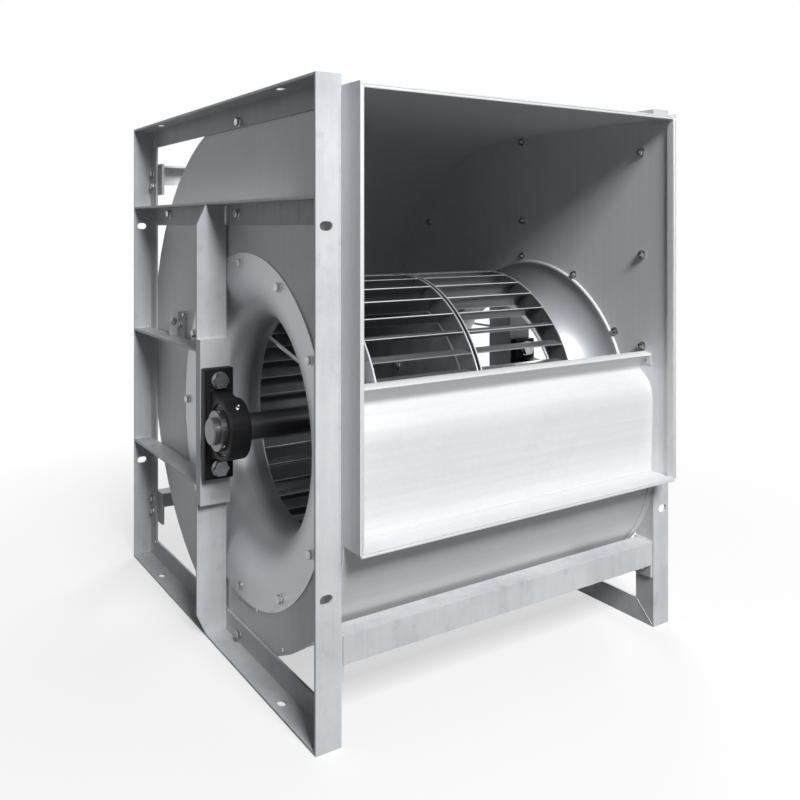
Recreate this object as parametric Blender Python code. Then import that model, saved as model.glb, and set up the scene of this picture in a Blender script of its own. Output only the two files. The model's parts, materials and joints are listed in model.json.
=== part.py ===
"""Double-inlet centrifugal fan in a pair of welded angle-steel side frames.

X runs along the shaft, the outlet faces -Y and +Z is up. The origin is under the middle of the
whole fan, on the floor that the bottom rails stand on. Everything is in metres.
"""

import math

import bmesh
import bpy
from mathutils import Vector

# Clearances
GAP = 0.0003
RUNNING_GAP = 0.0005

# Wheel
WHEEL_RADIUS = 0.250
BLADES = 38
BLADE_INNER_RADIUS = WHEEL_RADIUS - 0.044
BLADE_THICKNESS = 0.0016
BLADE_EDGE_MARGIN = 0.001
BLADE_LEAD_DEG = 6.0
BLADE_PHASE_DEG = 7.6
BLADE_FACETS = 3
END_RING_INNER_RADIUS = BLADE_INNER_RADIUS - 0.002
END_RING_THICKNESS = 0.002
DISC_THICKNESS = 0.0025
DISC_GAP = 0.006
STAYS = 3
STAY_RADIUS = 0.004
STAY_PHASE_DEG = 38.0
STAY_ROOT_X = 0.120

# Shaft and hub
SHAFT_RADIUS = 0.0225
SHAFT_STUB = 0.010
SHAFT_CHAMFER = 0.002
HUB_RADIUS = SHAFT_RADIUS + 0.0275
HUB_HALF_LENGTH = 0.060
HUB_NECK_RADIUS = SHAFT_RADIUS + 0.0175
HUB_NECK_HALF_LENGTH = STAY_ROOT_X + 0.010
HUB_FLANGE_RADIUS = HUB_RADIUS + 0.042

# Inlet cones
BELL_RADIUS = WHEEL_RADIUS + 0.012
FLANGE_RADIUS = BELL_RADIUS + 0.032
THROAT_RADIUS = WHEEL_RADIUS - 0.072
BELL_DEPTH = 0.084
BELL_FACETS = 6
CONE_TAIL = 0.022
CONE_FLARE = 0.008
CONE_HOLE_CLEARANCE = 0.0055
CONE_TO_WHEEL = 0.008

# Angle steel of the side frames
ANGLE_LEG = 0.040
ANGLE_THICKNESS = 0.004

# Casing
CASING_WIDTH = 0.638
SHEET = 0.002
PLATE_LIP = 0.003
OUTLET_REACH = 0.050
SCROLL_GROWTH = 0.199
SCROLL_RADIUS = WHEEL_RADIUS + SCROLL_GROWTH
SCROLL_BEHIND_AXIS = 0.050
SCROLL_OVER_AXIS = 0.081
SCROLL_FLOOR_GAP = 0.009
NOSE_RADIUS = WHEEL_RADIUS
NOSE_OVER_FRONT = 0.004
SILL_BELOW_AXIS = 0.097
CUTOFF_FOLD_BACK = 0.041
CUTOFF_FOLD_RISE = 0.176
CUTOFF_LIP_RISE = 0.206
CUTOFF_LEDGE = 0.018
CUTOFF_LEDGE_RISE = 0.0045

# Side frames round the casing
FLANGE_UNDER_POST = 0.009
AXIS_FROM_FRONT = ANGLE_LEG + FLANGE_RADIUS - FLANGE_UNDER_POST
FRAME_BEHIND_SCROLL = 0.016
FRAME_DEPTH = AXIS_FROM_FRONT + SCROLL_BEHIND_AXIS + SCROLL_RADIUS + FRAME_BEHIND_SCROLL
AXIS_HEIGHT = SCROLL_FLOOR_GAP + SCROLL_RADIUS - SCROLL_OVER_AXIS
OUTLET_TOP = SCROLL_FLOOR_GAP + 2 * SCROLL_RADIUS
FRAME_OVER_OUTLET = 0.018
FRAME_HEIGHT = OUTLET_TOP + FRAME_OVER_OUTLET
SILL_TOP = AXIS_HEIGHT - SILL_BELOW_AXIS
RAIL_OVER_FLANGE = 0.047
CROSS_RAIL_TOP = AXIS_HEIGHT + FLANGE_RADIUS + RAIL_OVER_FLANGE + ANGLE_LEG
SLOT_LENGTH = 0.020
SLOT_WIDTH = 0.013
SLOT_FROM_HEEL = 0.024
SLOT_FROM_POST_END = 0.2085
SLOT_FROM_RAIL_END = 0.140
SLOT_HALF_SPAN_POST = FRAME_HEIGHT / 2 - SLOT_FROM_POST_END
SLOT_HALF_SPAN_RAIL = FRAME_DEPTH / 2 - SLOT_FROM_RAIL_END

# Pillow blocks, built outwards from the shaft
SLEEVE_RADIUS = SHAFT_RADIUS + 0.0075
SLEEVE_WIDTH = 0.052
COLLAR_RADIUS = SHAFT_RADIUS + 0.011
COLLAR_WIDTH = 0.011
INSERT_RADIUS = SHAFT_RADIUS + 0.020
INSERT_WIDTH = 0.028
BOSS_RADIUS = INSERT_RADIUS + 0.0085
BOSS_WIDTH = 0.036
BEARING_HEIGHT = BOSS_RADIUS + 0.015
FOOT_BOLT_SPACING = 2 * BOSS_RADIUS + 0.048
FOOT_LENGTH = FOOT_BOLT_SPACING + 0.040
FOOT_WIDTH = 0.052
FOOT_THICKNESS = 0.018
BOLT_RADIUS = 0.008
BOLT_HEAD_RADIUS = 0.0139
BOLT_HEAD_HEIGHT = 0.010
WASHER_RADIUS = 0.015
WASHER_THICKNESS = 0.003

# Bearing bars and pads
BAR_LEG = 0.054
BAR_THICKNESS = 0.005
BAR_STAND_OFF = 0.0026
BAR_CORNER_CUT = 0.036
PAD_LENGTH = FOOT_LENGTH + 0.096
PAD_WIDTH = BAR_LEG
PAD_THICKNESS = 0.016

# Tie bars between bearing bar and rear post, and the clips that stand on the upper ones
TIE_THICKNESS = 0.005
UPPER_TIE_TOP = AXIS_HEIGHT + 0.119
LOWER_TIE_TOP = AXIS_HEIGHT - 0.120
CLIP_HEIGHT = 0.048
CLIP_STAND = 0.021
CLIP_FLAT = 0.040
CLIP_TO_FLANGE = 0.005
CLIP_BEHIND_AXIS = FLANGE_RADIUS + CLIP_TO_FLANGE + CLIP_FLAT
CLIP_THICKNESS = 0.003

# Cross bars between the two frames
END_PLATE = 0.005
END_PLATE_HEIGHT = 0.066
END_PLATE_REACH = 0.064
FRONT_PLATE_REACH = 0.037
END_PLATE_INSET = 0.002
PLATE_OVER_BAR = 0.003
SCROLL_OVER_BAR = 0.004
REAR_LOWER_BAR_TOP = 0.143
REAR_UPPER_BAR_TOP = FRAME_HEIGHT - 0.079

# Facets
FINE = 64
COARSE = 32
SMALL = 20

# Places worked out from the sizes above
FRONT = (OUTLET_REACH - FRAME_DEPTH) / 2
BACK = FRONT + FRAME_DEPTH
OUTLET_FRONT = FRONT - OUTLET_REACH
PLATE_X = CASING_WIDTH / 2
HEEL_X = PLATE_X + GAP
FRAME_X = HEEL_X + ANGLE_LEG
INNER_X = PLATE_X - SHEET - GAP
AXIS_Y = FRONT + AXIS_FROM_FRONT
SCROLL_CENTRE = (AXIS_Y + SCROLL_BEHIND_AXIS, AXIS_HEIGHT + SCROLL_OVER_AXIS)
WHEEL_HALF_WIDTH = PLATE_X - BELL_DEPTH - CONE_TAIL - CONE_TO_WHEEL
BAR_X = HEEL_X + BAR_STAND_OFF
BAR_FACE = AXIS_Y + BEARING_HEIGHT + PAD_THICKNESS + 2 * GAP
PAD_X = BAR_X + BAR_LEG / 2
BAR_OUTER_X = BAR_X + BAR_LEG
BAR_BOTTOM = ANGLE_THICKNESS + GAP
BAR_TOP = CROSS_RAIL_TOP - ANGLE_THICKNESS - GAP
SHAFT_HALF_LENGTH = PAD_X + SLEEVE_WIDTH / 2 + SHAFT_STUB
DISC_INNER_FACE = DISC_GAP / 2
DISC_OUTER_FACE = DISC_INNER_FACE + DISC_THICKNESS
FRONT_BAR_BACK = FRONT + ANGLE_LEG - PLATE_OVER_BAR
FRONT_BAR_TOP = SCROLL_CENTRE[1] - math.sqrt(
    (SCROLL_RADIUS + PLATE_LIP + SCROLL_OVER_BAR) ** 2 - (SCROLL_CENTRE[0] - FRONT_BAR_BACK) ** 2
)
SIDES = (("left", -1), ("right", 1))


def clear_scene():
    for obj in list(bpy.data.objects):
        bpy.data.objects.remove(obj, do_unlink=True)


def finish(name, colour, roughness, metallic):
    """One Principled material, made once and shared."""
    found = bpy.data.materials.get(name)
    if found:
        return found
    made = bpy.data.materials.new(name)
    made.use_nodes = True
    shader = made.node_tree.nodes["Principled BSDF"]
    shader.inputs["Base Color"].default_value = (*colour, 1)
    shader.inputs["Roughness"].default_value = roughness
    shader.inputs["Metallic"].default_value = metallic
    return made


def galvanised():
    return finish("galvanised_sheet", (0.62, 0.64, 0.65), 0.38, 0.9)


def frame_steel():
    return finish("zinc_coated_angle", (0.60, 0.63, 0.66), 0.45, 0.8)


def cast_black():
    return finish("black_cast_iron", (0.02, 0.02, 0.022), 0.5, 0.4)


def bright_zinc():
    return finish("bright_zinc", (0.75, 0.76, 0.78), 0.25, 1.0)


def shaft_steel():
    return finish("dark_shaft_steel", (0.12, 0.12, 0.13), 0.4, 0.9)


def object_from(name, bm, material, smooth_deg=None):
    """An object from a bmesh whose faces are turned outwards first."""
    bmesh.ops.recalc_face_normals(bm, faces=bm.faces)
    mesh = bpy.data.meshes.new(name)
    bm.to_mesh(mesh)
    bm.free()
    mesh.materials.append(material)
    if smooth_deg:
        mesh.shade_smooth()
        mesh.set_sharp_from_angle(angle=math.radians(smooth_deg))
    obj = bpy.data.objects.new(name, mesh)
    bpy.context.scene.collection.objects.link(obj)
    return obj


def prism(name, outline, axis, low, high, material, smooth_deg=None):
    """A closed outline in the two axes other than axis, extruded along axis from low to high."""
    bm = bmesh.new()
    corners = []
    for a, b in outline:
        at = [a, b]
        at.insert(axis, low)
        corners.append(bm.verts.new(at))
    face = bm.faces.new(corners)
    along = Vector((0, 0, 0))
    along[axis] = high - low
    grown = bmesh.ops.extrude_face_region(bm, geom=[face])["geom"]
    bmesh.ops.translate(bm, vec=along, verts=[v for v in grown if isinstance(v, bmesh.types.BMVert)])
    return object_from(name, bm, material, smooth_deg)


def box(name, low, high, material):
    outline = [(low[1], low[2]), (high[1], low[2]), (high[1], high[2]), (low[1], high[2])]
    return prism(name, outline, 0, low[0], high[0], material)


def circle(centre, radius, count, turn=0.0):
    steps = [turn + 2 * math.pi * i / count for i in range(count)]
    return [(centre[0] + radius * math.cos(a), centre[1] + radius * math.sin(a)) for a in steps]


def arc(centre, radius, start_deg, end_deg, count):
    steps = [math.radians(start_deg + (end_deg - start_deg) * i / count) for i in range(count + 1)]
    return [(centre[0] + radius * math.cos(a), centre[1] + radius * math.sin(a)) for a in steps]


def turned(name, profile, segments, material, smooth_deg=35):
    """A closed profile of (x, radius) points spun round the shaft line."""
    bm = bmesh.new()
    ring = [bm.verts.new((x, AXIS_Y, AXIS_HEIGHT + r)) for x, r in profile]
    edges = [bm.edges.new((ring[i - 1], ring[i])) for i in range(len(ring))]
    bmesh.ops.spin(
        bm,
        geom=ring + edges,
        cent=(0, AXIS_Y, AXIS_HEIGHT),
        axis=(1, 0, 0),
        angle=2 * math.pi,
        steps=segments,
        use_merge=True,
    )
    return object_from(name, bm, material, smooth_deg)


def ring_profile(x_low, x_high, inner, outer):
    return [(x_low, inner), (x_low, outer), (x_high, outer), (x_high, inner)]


def sheet_outline(path, thickness):
    """A folded sheet's closed outline: the path and the same path moved to its left."""
    moved = []
    for i, (a, b) in enumerate(path):
        before = Vector(path[max(i - 1, 0)])
        after = Vector(path[min(i + 1, len(path) - 1)])
        here = Vector((a, b))
        first = (here - before).normalized() if i else (after - here).normalized()
        second = (after - here).normalized() if i < len(path) - 1 else first
        normal = Vector((-first.y - second.y, first.x + second.x)).normalized()
        reach = thickness / max(0.3, normal.dot(Vector((-first.y, first.x))))
        moved.append(tuple(here + normal * reach))
    return list(path) + moved[::-1]


def boolean(obj, other, operation):
    """Joins other to obj or cuts it out, and keeps other as a hidden guide."""
    modifier = obj.modifiers.new(f"{operation.lower()}_{other.name}", "BOOLEAN")
    modifier.operation = operation
    modifier.object = other
    modifier.solver = "EXACT"
    other.hide_render = True
    other.display_type = "WIRE"


def cut_box(obj, low, high):
    low, high = ([f(a, b) for a, b in zip(low, high)] for f in (min, max))
    boolean(obj, box(f"{obj.name}_notch", low, high, frame_steel()), "DIFFERENCE")


def cut_round(obj, centre, radius, axis, low, high, count=SMALL):
    cutter = prism(f"{obj.name}_hole", circle(centre, radius, count), axis, low, high, frame_steel())
    boolean(obj, cutter, "DIFFERENCE")


def cut_slot(obj, centre, long_axis, axis, low, high):
    """A slot with round ends through a leg. centre is in the two axes other than axis."""
    half = (SLOT_LENGTH - SLOT_WIDTH) / 2
    turn = 0 if long_axis == 0 else 90
    ahead = (half, 0) if long_axis == 0 else (0, half)
    front = arc((centre[0] + ahead[0], centre[1] + ahead[1]), SLOT_WIDTH / 2, turn - 90, turn + 90, 6)
    rear = arc((centre[0] - ahead[0], centre[1] - ahead[1]), SLOT_WIDTH / 2, turn + 90, turn + 270, 6)
    cutter = prism(f"{obj.name}_slot", front + rear, axis, low, high, frame_steel())
    boolean(obj, cutter, "DIFFERENCE")


def angle_bar(name, start, end, inward, outward, legs, thickness, mitre=0.0):
    """An angle section along its heel line. legs are the inward and the outward leg."""
    start, end, inward, outward = (Vector(v) for v in (start, end, inward, outward))
    along = (end - start).normalized()
    leg_in, leg_out = legs
    section = [(0, 0), (leg_in, 0), (leg_in, thickness), (thickness, thickness), (thickness, leg_out), (0, leg_out)]
    bm = bmesh.new()
    near, far = [], []
    for i, o in section:
        offset = inward * i + outward * o
        near.append(bm.verts.new(start + offset + along * (i * mitre)))
        far.append(bm.verts.new(end + offset - along * (i * mitre)))
    bm.faces.new(near)
    bm.faces.new(far[::-1])
    for i in range(len(section)):
        j = (i + 1) % len(section)
        bm.faces.new((near[i], near[j], far[j], far[i]))
    return object_from(name, bm, frame_steel())


def frame_posts(label, side):
    """Front and rear posts, mitred at both ends and slotted in their outward legs."""
    for end, y, inward in (("front", FRONT, 1), ("rear", BACK, -1)):
        heel = side * HEEL_X
        post = angle_bar(
            f"{label}_{end}_post",
            (heel, y, GAP),
            (heel, y, FRAME_HEIGHT - GAP),
            (0, inward, 0),
            (side, 0, 0),
            (ANGLE_LEG, ANGLE_LEG),
            ANGLE_THICKNESS,
            1.0,
        )
        depth = (y - ANGLE_THICKNESS, y + ANGLE_THICKNESS * 2) if inward > 0 else (
            y - ANGLE_THICKNESS * 2, y + ANGLE_THICKNESS)
        for sign in (-1, 1):
            at = (side * (PLATE_X + SLOT_FROM_HEEL), FRAME_HEIGHT / 2 + sign * SLOT_HALF_SPAN_POST)
            cut_slot(post, at, 0, 1, *depth)


def frame_rails(label, side):
    """Top and bottom rails, mitred at both ends and slotted in their outward legs."""
    middle = (FRONT + BACK) / 2
    for level, z, inward in (("top", FRAME_HEIGHT, -1), ("bottom", 0.0, 1)):
        heel = side * HEEL_X
        rail = angle_bar(
            f"{label}_{level}_rail",
            (heel, FRONT + GAP, z),
            (heel, BACK - GAP, z),
            (0, 0, inward),
            (side, 0, 0),
            (ANGLE_LEG, ANGLE_LEG),
            ANGLE_THICKNESS,
            1.0,
        )
        low, high = z - ANGLE_THICKNESS * 2, z + ANGLE_THICKNESS * 2
        for sign in (-1, 1):
            at = (side * (PLATE_X + SLOT_FROM_HEEL), middle + sign * SLOT_HALF_SPAN_RAIL)
            cut_slot(rail, at, 1, 2, low, high)


def cross_rail(label, side):
    """The upper cross rail between the posts, its inner leg cut short to meet theirs edge to edge."""
    heel = side * HEEL_X
    rail = angle_bar(
        f"{label}_upper_cross_rail",
        (heel, FRONT + ANGLE_THICKNESS + GAP, CROSS_RAIL_TOP),
        (heel, BACK - ANGLE_THICKNESS - GAP, CROSS_RAIL_TOP),
        (0, 0, -1),
        (side, 0, 0),
        (ANGLE_LEG, ANGLE_LEG),
        ANGLE_THICKNESS,
    )
    near, far = side * (HEEL_X - ANGLE_LEG), side * (HEEL_X + ANGLE_THICKNESS + GAP)
    bottom, top = CROSS_RAIL_TOP - 2 * ANGLE_LEG, CROSS_RAIL_TOP + ANGLE_LEG
    cut_box(rail, (near, FRONT - ANGLE_LEG, bottom), (far, FRONT + ANGLE_LEG + GAP, top))
    cut_box(rail, (near, BACK - ANGLE_LEG - GAP, bottom), (far, BACK + ANGLE_LEG, top))


def bearing_bar(label, side):
    """The wide upright angle that carries the pillow block, rebated over both rails' inner legs."""
    bar = angle_bar(
        f"{label}_bearing_bar",
        (side * BAR_X, BAR_FACE, BAR_BOTTOM),
        (side * BAR_X, BAR_FACE, BAR_TOP),
        (0, 1, 0),
        (side, 0, 0),
        (BAR_LEG, BAR_LEG),
        BAR_THICKNESS,
    )
    near, far = side * (HEEL_X - ANGLE_LEG), side * (HEEL_X + ANGLE_THICKNESS + GAP)
    y_low, y_high = BAR_FACE - BAR_LEG, BAR_FACE + 2 * BAR_LEG
    cut_box(bar, (near, y_low, BAR_BOTTOM - BAR_LEG), (far, y_high, ANGLE_LEG + GAP))
    cut_box(bar, (near, y_low, CROSS_RAIL_TOP - ANGLE_LEG - GAP), (far, y_high, BAR_TOP + BAR_LEG))
    for end, away in ((BAR_TOP, 1), (BAR_BOTTOM, -1)):
        inner = side * FRAME_X
        outer = side * (BAR_OUTER_X + BAR_LEG)
        slope = BAR_CORNER_CUT / (BAR_OUTER_X - FRAME_X)
        drop = end - away * slope * (abs(outer) - FRAME_X)
        outline = [(inner, end), (outer, drop), (outer, end + away * BAR_LEG), (inner, end + away * BAR_LEG)]
        cutter = prism(f"{bar.name}_corner", outline, 1, BAR_FACE - BAR_LEG, y_high, frame_steel())
        boolean(bar, cutter, "DIFFERENCE")
    for sign in (-1, 1):
        at = (side * PAD_X, AXIS_HEIGHT + sign * FOOT_BOLT_SPACING / 2)
        cut_round(bar, at, BOLT_RADIUS + RUNNING_GAP, 1, BAR_FACE - BAR_LEG, BAR_FACE + 2 * BAR_THICKNESS)


def bearing_pad(label, side):
    """The machined pad plate on the bar that the pillow block is bolted down on."""
    half = PAD_WIDTH / 2
    x_low, x_high = sorted((side * (PAD_X - half), side * (PAD_X + half)))
    low = (x_low, BAR_FACE - GAP - PAD_THICKNESS, AXIS_HEIGHT - PAD_LENGTH / 2)
    high = (x_high, BAR_FACE - GAP, AXIS_HEIGHT + PAD_LENGTH / 2)
    pad = box(f"{label}_bearing_pad", low, high, frame_steel())
    for sign in (-1, 1):
        at = (side * PAD_X, AXIS_HEIGHT + sign * FOOT_BOLT_SPACING / 2)
        cut_round(pad, at, BOLT_RADIUS + RUNNING_GAP, 1, low[1] - PAD_THICKNESS, high[1] + PAD_THICKNESS)


def tie_bars(label, side):
    """Two flat bars from the bearing bar back to the rear post, notched round both inner legs."""
    for level, top in (("upper", UPPER_TIE_TOP), ("lower", LOWER_TIE_TOP)):
        x_low, x_high = sorted((side * BAR_X, side * FRAME_X))
        low = (x_low, BAR_FACE + BAR_THICKNESS + GAP, top - TIE_THICKNESS)
        high = (x_high, BACK - ANGLE_THICKNESS - GAP, top)
        tie = box(f"{label}_{level}_tie_bar", low, high, frame_steel())
        z_low, z_high = top - 2 * TIE_THICKNESS, top + TIE_THICKNESS
        near = side * (HEEL_X - ANGLE_LEG)
        bar_far = side * (BAR_X + BAR_THICKNESS + GAP)
        post_far = side * (HEEL_X + ANGLE_THICKNESS + GAP)
        cut_box(tie, (near, BAR_FACE - BAR_LEG, z_low), (bar_far, BAR_FACE + BAR_LEG + GAP, z_high))
        cut_box(tie, (near, BACK - ANGLE_LEG - GAP, z_low), (post_far, BACK + ANGLE_LEG, z_high))


def tie_clips(label, side):
    """A short upright angle on the upper tie bar, one leg flat on the side plate."""
    heel = (side * HEEL_X, AXIS_Y + CLIP_BEHIND_AXIS)
    angle_bar(
        f"{label}_tie_clip",
        (*heel, UPPER_TIE_TOP + GAP),
        (*heel, UPPER_TIE_TOP + GAP + CLIP_HEIGHT),
        (0, -1, 0),
        (side, 0, 0),
        (CLIP_FLAT, CLIP_STAND),
        CLIP_THICKNESS,
    )


def cross_bar(name, heel_y, top, reach, plate_span):
    """An angle along X with a bolting plate welded to each end. reach is +1 or -1 for its top leg."""
    mid_plate = HEEL_X - GAP - END_PLATE / 2
    bar = angle_bar(
        name,
        (-mid_plate, heel_y, top),
        (mid_plate, heel_y, top),
        (0, reach, 0),
        (0, 0, -1),
        (ANGLE_LEG - PLATE_OVER_BAR, ANGLE_LEG),
        ANGLE_THICKNESS,
    )
    for label, side in SIDES:
        x_low, x_high = sorted((side * (HEEL_X - GAP), side * (HEEL_X - GAP - END_PLATE)))
        plate_top = top + PLATE_OVER_BAR
        low = (x_low, plate_span[0], plate_top - END_PLATE_HEIGHT)
        plate = box(f"{name}_{label}_plate", low, (x_high, plate_span[1], plate_top), frame_steel())
        boolean(bar, plate, "UNION")


def cross_bars():
    front_span = (FRONT + END_PLATE_INSET, FRONT + END_PLATE_INSET + FRONT_PLATE_REACH)
    rear_span = (BACK - END_PLATE_INSET - END_PLATE_REACH, BACK - END_PLATE_INSET)
    rear_heel = BACK - ANGLE_LEG / 2
    cross_bar("front_lower_cross_bar", FRONT, FRONT_BAR_TOP, 1, front_span)
    cross_bar("rear_lower_cross_bar", rear_heel, REAR_LOWER_BAR_TOP, -1, rear_span)
    cross_bar("rear_upper_cross_bar", rear_heel, REAR_UPPER_BAR_TOP, -1, rear_span)


def scroll_path(offset, sill):
    """The casing's outline in Y and Z, from the sill round the scroll to the top of the outlet."""
    centre_y, centre_z = SCROLL_CENTRE
    shift = SCROLL_RADIUS - NOSE_RADIUS
    nose_y = FRONT - NOSE_OVER_FRONT + NOSE_RADIUS
    lean = math.asin((centre_y - nose_y) / shift)
    nose_z = centre_z - shift * math.cos(lean)
    meeting = 270 - math.degrees(lean)
    nose = NOSE_RADIUS + offset
    start = 180 + math.degrees(math.asin((nose_z - sill) / nose))
    path = arc((nose_y, nose_z), nose, start, meeting, 10)
    path += arc(SCROLL_CENTRE, SCROLL_RADIUS + offset, meeting, 450, 38)[1:]
    path.append((OUTLET_FRONT, OUTLET_TOP + offset))
    return path


def side_plates():
    """Flat side plates: the scroll's outline run on to the outlet, with the round inlet opening."""
    hole = BELL_RADIUS + CONE_HOLE_CLEARANCE
    bottom = SILL_TOP - SHEET
    for label, side in SIDES:
        outline = scroll_path(PLATE_LIP, bottom) + [(OUTLET_FRONT, bottom)]
        x_low, x_high = sorted((side * PLATE_X, side * (PLATE_X - SHEET)))
        plate = prism(f"{label}_side_plate", outline, 0, x_low, x_high, galvanised())
        cut_round(plate, (AXIS_Y, AXIS_HEIGHT), hole, 0, x_low - SHEET, x_high + SHEET, FINE)


def scroll_wrap():
    """The one sheet that runs round the scroll and forward over the outlet."""
    wrap_start = SILL_TOP - SHEET - GAP
    outer = scroll_path(0.0, wrap_start)
    inner = scroll_path(-SHEET, wrap_start)
    prism("scroll_wrap", outer + inner[::-1], 0, -INNER_X, INNER_X, galvanised(), 30)


def outlet_sill():
    """The flat floor of the outlet, resting on the start of the wrap."""
    low = (-INNER_X, OUTLET_FRONT, SILL_TOP - SHEET)
    high = (INNER_X, FRONT + CUTOFF_FOLD_BACK / 2, SILL_TOP)
    box("outlet_sill", low, high, galvanised())


def cutoff_plate():
    """The cut-off: a panel that leans back from the sill, folded forward to a lip with a short ledge."""
    foot = FRONT + END_PLATE_INSET
    base = SILL_TOP + GAP
    path = [
        (foot, base),
        (foot + CUTOFF_FOLD_BACK, base + CUTOFF_FOLD_RISE),
        (foot, base + CUTOFF_LIP_RISE),
        (foot + CUTOFF_LEDGE, base + CUTOFF_LIP_RISE + CUTOFF_LEDGE_RISE),
    ]
    outline = sheet_outline(path, -SHEET)
    outline[-1] = (foot + SHEET, base)
    prism("cutoff_plate", outline, 0, -INNER_X, INNER_X, galvanised())


def inlet_cones():
    """Spun bellmouths bolted on the side plates, drawn in to the throat and flared behind it."""
    flange_x = PLATE_X + GAP + SHEET / 2
    throat_x = flange_x - BELL_DEPTH
    drop = BELL_RADIUS - THROAT_RADIUS
    post_back = FRONT + ANGLE_LEG + GAP
    for label, side in SIDES:
        path = [(flange_x, FLANGE_RADIUS)]
        for i in range(BELL_FACETS + 1):
            turn = math.radians(90 * i / BELL_FACETS)
            path.append((throat_x + BELL_DEPTH * math.cos(turn), BELL_RADIUS - drop * math.sin(turn)))
        path.append((throat_x - CONE_TAIL, THROAT_RADIUS + CONE_FLARE))
        moved = [(x, r) for x, r in sheet_outline(path, SHEET / 2)[len(path):]]
        other = [(x, r) for x, r in sheet_outline(path, -SHEET / 2)[len(path):]]
        profile = [(side * x, r) for x, r in moved + other[::-1]]
        cone = turned(f"{label}_inlet_cone", profile, FINE, galvanised())
        near, far = side * (PLATE_X - SHEET), side * (HEEL_X + ANGLE_LEG)
        height = (AXIS_HEIGHT - FLANGE_RADIUS, AXIS_HEIGHT + FLANGE_RADIUS)
        cut_box(cone, (near, FRONT, height[0]), (far, post_back, height[1]))


def shaft():
    profile = [
        (-SHAFT_HALF_LENGTH, 0.0),
        (-SHAFT_HALF_LENGTH, SHAFT_RADIUS - SHAFT_CHAMFER),
        (-SHAFT_HALF_LENGTH + SHAFT_CHAMFER, SHAFT_RADIUS),
        (SHAFT_HALF_LENGTH - SHAFT_CHAMFER, SHAFT_RADIUS),
        (SHAFT_HALF_LENGTH, SHAFT_RADIUS - SHAFT_CHAMFER),
        (SHAFT_HALF_LENGTH, 0.0),
    ]
    bm = bmesh.new()
    line = [bm.verts.new((x, AXIS_Y, AXIS_HEIGHT + r)) for x, r in profile]
    edges = [bm.edges.new((line[i], line[i + 1])) for i in range(len(line) - 1)]
    bmesh.ops.spin(
        bm, geom=line + edges, cent=(0, AXIS_Y, AXIS_HEIGHT), axis=(1, 0, 0),
        angle=2 * math.pi, steps=COARSE, use_merge=True,
    )
    bmesh.ops.remove_doubles(bm, verts=bm.verts, dist=1e-6)
    object_from("shaft", bm, shaft_steel(), 35)


def hub():
    """A turned hub: a neck to each side for the stays, and a middle flange for the discs."""
    inner = SHAFT_RADIUS + GAP
    flange = DISC_INNER_FACE - GAP
    profile = [
        (-HUB_NECK_HALF_LENGTH, inner),
        (-HUB_NECK_HALF_LENGTH, HUB_NECK_RADIUS),
        (-HUB_HALF_LENGTH, HUB_NECK_RADIUS),
        (-HUB_HALF_LENGTH, HUB_RADIUS),
        (-flange, HUB_RADIUS),
        (-flange, HUB_FLANGE_RADIUS),
        (flange, HUB_FLANGE_RADIUS),
        (flange, HUB_RADIUS),
        (HUB_HALF_LENGTH, HUB_RADIUS),
        (HUB_HALF_LENGTH, HUB_NECK_RADIUS),
        (HUB_NECK_HALF_LENGTH, HUB_NECK_RADIUS),
        (HUB_NECK_HALF_LENGTH, inner),
    ]
    turned("hub", profile, COARSE, shaft_steel())


def wheel_discs():
    for label, side in SIDES:
        x_low, x_high = sorted((side * DISC_INNER_FACE, side * DISC_OUTER_FACE))
        profile = ring_profile(x_low, x_high, HUB_RADIUS + GAP, WHEEL_RADIUS)
        turned(f"{label}_wheel_disc", profile, FINE, galvanised())


def blade_section(turn_deg):
    """One forward-curved blade's section in Y and Z, its outer edge at turn_deg."""
    outer = WHEEL_RADIUS - BLADE_EDGE_MARGIN
    line = []
    for i in range(BLADE_FACETS + 1):
        part = i / BLADE_FACETS
        radius = BLADE_INNER_RADIUS + (outer - BLADE_INNER_RADIUS) * part
        turn = math.radians(turn_deg - BLADE_LEAD_DEG * (1 - part * part))
        line.append((AXIS_Y + radius * math.cos(turn), AXIS_HEIGHT + radius * math.sin(turn)))
    return sheet_outline(line, BLADE_THICKNESS)


def blade_rows():
    """Curved blades on each side, welded into the end ring that binds their outer ends."""
    for label, side in SIDES:
        ring_face = WHEEL_HALF_WIDTH - END_RING_THICKNESS
        x_low, x_high = sorted((side * ring_face, side * WHEEL_HALF_WIDTH))
        profile = ring_profile(x_low, x_high, END_RING_INNER_RADIUS, WHEEL_RADIUS)
        row = turned(f"{label}_blade_row", profile, FINE, galvanised())
        bm = bmesh.new()
        start = side * (DISC_OUTER_FACE + GAP)
        end = side * (ring_face + END_RING_THICKNESS / 2)
        for k in range(BLADES):
            section = blade_section(BLADE_PHASE_DEG + 360 * k / BLADES)
            near = [bm.verts.new((start, y, z)) for y, z in section]
            far = [bm.verts.new((end, y, z)) for y, z in section]
            bm.faces.new(near)
            bm.faces.new(far[::-1])
            for i in range(len(section)):
                bm.faces.new((near[i - 1], near[i], far[i], far[i - 1]))
        blades = object_from(f"{label}_blades", bm, galvanised())
        boolean(row, blades, "UNION")


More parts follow.
